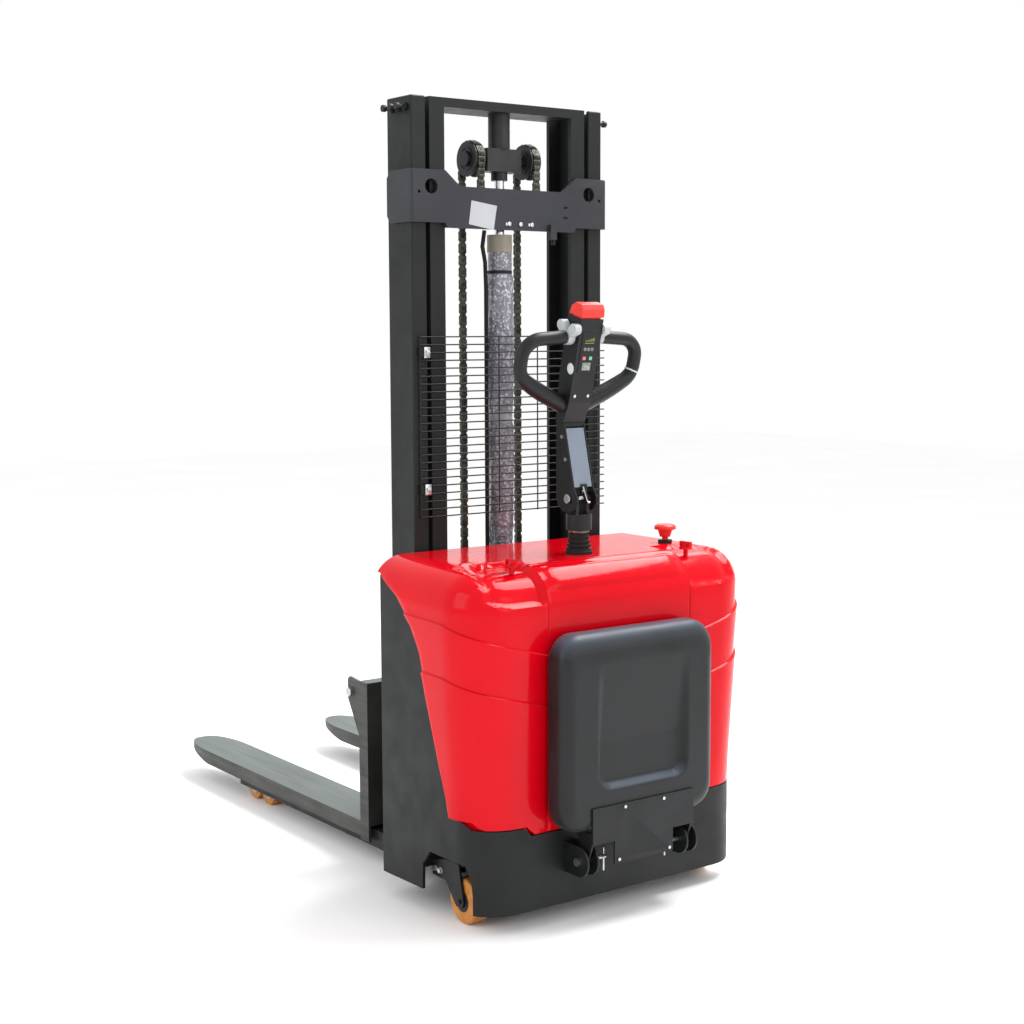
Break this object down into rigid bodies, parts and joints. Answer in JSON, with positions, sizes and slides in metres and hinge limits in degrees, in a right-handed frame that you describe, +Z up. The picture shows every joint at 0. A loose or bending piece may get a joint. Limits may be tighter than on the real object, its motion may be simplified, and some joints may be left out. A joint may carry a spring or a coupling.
{
  "type": "electric stacker",
  "caption": "Stand-on electric stacker: two-stage mast with chains, forks over support legs, steering tiller, red hood and a fold-up platform",
  "frame": {"origin": "on the floor under the middle of the machine's length and width", "axes": "+X to the operator's right, +Y towards the fork tips, +Z up"},
  "size_m": [0.91, 1.981, 2.041],
  "materials": {
    "charcoal_steel": "fine powder coat",
    "black_steel": "satin black paint",
    "fork_steel": "worn paint",
    "red_moulding": "glossy red moulding",
    "red_button": "glossy red",
    "black_plastic": "fine texture",
    "cover_grey": "satin grey paint",
    "white_plastic": "smooth",
    "green_plastic": "gloss",
    "bright_steel": "zinc plated",
    "chrome_rod": "hard chrome",
    "chain_steel": "oiled",
    "dark_casting": "painted casting",
    "bubble_film": "silvery film",
    "rubber": "matt",
    "orange_tyre": "polyurethane",
    "black_tyre": "polyurethane",
    "battery_case": "moulded",
    "motor_steel": "cast"
  },
  "bodies": {
    "chassis": {"chassis_frame": "charcoal_steel", "skirt": "charcoal_steel", "support_leg_left": "charcoal_steel", "support_leg_right": "charcoal_steel", "hood_shell": "red_moulding", "hood_panel": "red_moulding", "battery": "battery_case", "hydraulic_pack": "motor_steel", "controller": "motor_steel", "outer_mast": "charcoal_steel", "cross_plate": "charcoal_steel", "mast_guard": "black_steel", "mast_bolts": "black_steel", "lift_cylinder": "black_steel", "cylinder_wrap": "bubble_film", "hydraulic_hose": "rubber", "estop_housing": "black_plastic", "tiller_boot": "rubber", "platform_hinges": "black_steel", "platform_pins": "bright_steel", "rear_chains": "chain_steel"},
    "steer_unit": {"drive_gearbox": "dark_casting", "drive_motor": "dark_casting", "steer_post": "black_steel", "tiller_pin": "bright_steel"},
    "drive_wheel": {"drive_wheel": "black_tyre"},
    "tiller": {"tiller_arm": "black_steel", "tiller_cover": "cover_grey", "tiller_head": "black_plastic", "handle_loops": "black_plastic", "display_panel": "black_plastic", "tiller_screws": "bright_steel"},
    "throttle": {"throttle": "white_plastic"},
    "belly_button": {"belly_button": "red_button"},
    "key_red": {"key_red": "red_button"},
    "key_green": {"key_green": "green_plastic"},
    "estop_button": {"estop_button": "red_button"},
    "latch_left": {"latch_left": "red_moulding"},
    "latch_right": {"latch_right": "red_moulding"},
    "inner_mast": {"inner_mast": "charcoal_steel", "lift_head": "dark_casting", "piston_rod": "chrome_rod", "chain_wraps": "chain_steel", "front_chains": "chain_steel"},
    "chain_wheel_left": {"chain_wheel_left": "dark_casting"},
    "chain_wheel_right": {"chain_wheel_right": "dark_casting"},
    "carriage": {"carriage": "charcoal_steel", "carriage_bolts": "bright_steel", "fork_left": "fork_steel", "fork_right": "fork_steel"},
    "platform": {"platform_tray": "black_plastic", "platform_bracket": "black_steel"},
    "caster_left": {"caster_fork_left": "black_steel"},
    "caster_wheel_left": {"caster_wheel_left": "orange_tyre"},
    "load_roller_left_front": {"load_roller_left_front": "orange_tyre"},
    "load_roller_left_rear": {"load_roller_left_rear": "orange_tyre"},
    "caster_right": {"caster_fork_right": "black_steel"},
    "caster_wheel_right": {"caster_wheel_right": "orange_tyre"},
    "load_roller_right_front": {"load_roller_right_front": "orange_tyre"},
    "load_roller_right_rear": {"load_roller_right_rear": "orange_tyre"}
  },
  "joints": [
    {"name": "steer", "type": "hinge", "parent": "chassis", "child": "steer_unit", "pos_m": [0, -0.7255, 0.2], "axis": [0, 0, 1], "range_deg": [-90, 90]},
    {"name": "drive_wheel_spin", "type": "hinge", "parent": "steer_unit", "child": "drive_wheel", "pos_m": [0, -0.7255, 0.115], "axis": [1, 0, 0], "continuous": true},
    {"name": "tiller_tilt", "type": "hinge", "parent": "steer_unit", "child": "tiller", "pos_m": [0, -0.7255, 1.025], "axis": [1, 0, 0], "range_deg": [0, 75], "stiffness_Nm_per_rad": 14, "springref_deg": -51.57},
    {"name": "throttle_turn", "type": "hinge", "parent": "tiller", "child": "throttle", "pos_m": [0, -0.73958, 1.43245], "axis": [1, 0, 0], "range_deg": [-30, 30], "stiffness_Nm_per_rad": 0.4},
    {"name": "belly_press", "type": "slide", "parent": "tiller", "child": "belly_button", "axis": [0, 0.2419, -0.9703], "range_m": [0, 0.004], "stiffness_N_per_m": 800, "springref_m": -0.002},
    {"name": "key_red_press", "type": "slide", "parent": "tiller", "child": "key_red", "axis": [0, 0.9703, 0.2419], "range_m": [0, 0.0015], "stiffness_N_per_m": 400, "springref_m": -0.001},
    {"name": "key_green_press", "type": "slide", "parent": "tiller", "child": "key_green", "axis": [0, 0.9703, 0.2419], "range_m": [0, 0.0015], "stiffness_N_per_m": 400, "springref_m": -0.001},
    {"name": "estop_press", "type": "slide", "parent": "chassis", "child": "estop_button", "axis": [0, 0, -1], "range_m": [0, 0.006]},
    {"name": "latch_left_turn", "type": "hinge", "parent": "chassis", "child": "latch_left", "pos_m": [-0.28, -0.8195, 0.88], "axis": [0, 0, 1], "range_deg": [0, 90]},
    {"name": "latch_right_turn", "type": "hinge", "parent": "chassis", "child": "latch_right", "pos_m": [0.28, -0.8195, 0.88], "axis": [0, 0, -1], "range_deg": [0, 90]},
    {"name": "caster_left_swivel", "type": "hinge", "parent": "chassis", "child": "caster_left", "pos_m": [-0.365, -0.7295, 0.16], "axis": [0, 0, 1], "continuous": true},
    {"name": "caster_left_roll", "type": "hinge", "parent": "caster_left", "child": "caster_wheel_left", "pos_m": [-0.365, -0.7595, 0.0575], "axis": [1, 0, 0], "continuous": true},
    {"name": "load_roller_left_front_roll", "type": "hinge", "parent": "chassis", "child": "load_roller_left_front", "pos_m": [-0.2485, 0.5505, 0.04], "axis": [1, 0, 0], "continuous": true},
    {"name": "load_roller_left_rear_roll", "type": "hinge", "parent": "chassis", "child": "load_roller_left_rear", "pos_m": [-0.2485, 0.4605, 0.04], "axis": [1, 0, 0], "continuous": true},
    {"name": "caster_right_swivel", "type": "hinge", "parent": "chassis", "child": "caster_right", "pos_m": [0.365, -0.7295, 0.16], "axis": [0, 0, 1], "continuous": true},
    {"name": "caster_right_roll", "type": "hinge", "parent": "caster_right", "child": "caster_wheel_right", "pos_m": [0.365, -0.7595, 0.0575], "axis": [1, 0, 0], "continuous": true},
    {"name": "load_roller_right_front_roll", "type": "hinge", "parent": "chassis", "child": "load_roller_right_front", "pos_m": [0.2485, 0.5505, 0.04], "axis": [1, 0, 0], "continuous": true},
    {"name": "load_roller_right_rear_roll", "type": "hinge", "parent": "chassis", "child": "load_roller_right_rear", "pos_m": [0.2485, 0.4605, 0.04], "axis": [1, 0, 0], "continuous": true},
    {"name": "mast_lift", "type": "slide", "parent": "chassis", "child": "inner_mast", "axis": [0, 0, 1], "range_m": [0, 1.45], "deforming": ["rear_chains"]},
    {"name": "carriage_lift", "type": "slide", "parent": "inner_mast", "child": "carriage", "axis": [0, 0, 1], "range_m": [0, 1.45], "deforming": ["front_chains"]},
    {"name": "chain_wheel_left_turn", "type": "hinge", "parent": "inner_mast", "child": "chain_wheel_left", "pos_m": [-0.09, -0.3825, 1.896], "axis": [1, 0, 0], "continuous": true},
    {"name": "chain_wheel_right_turn", "type": "hinge", "parent": "inner_mast", "child": "chain_wheel_right", "pos_m": [0.09, -0.3825, 1.896], "axis": [1, 0, 0], "continuous": true},
    {"name": "platform_fold", "type": "hinge", "parent": "chassis", "child": "platform", "pos_m": [0, -0.9495, 0.165], "axis": [1, 0, 0], "range_deg": [0, 90], "stiffness_Nm_per_rad": 10, "springref_deg": -40.11}
  ],
  "couplings": [
    {"joint": "carriage_lift", "follows": "mast_lift", "ratio": 1},
    {"joint": "chain_wheel_left_turn", "follows": "mast_lift", "rad_per_m": 23.256},
    {"joint": "chain_wheel_right_turn", "follows": "mast_lift", "rad_per_m": 23.256}
  ]
}
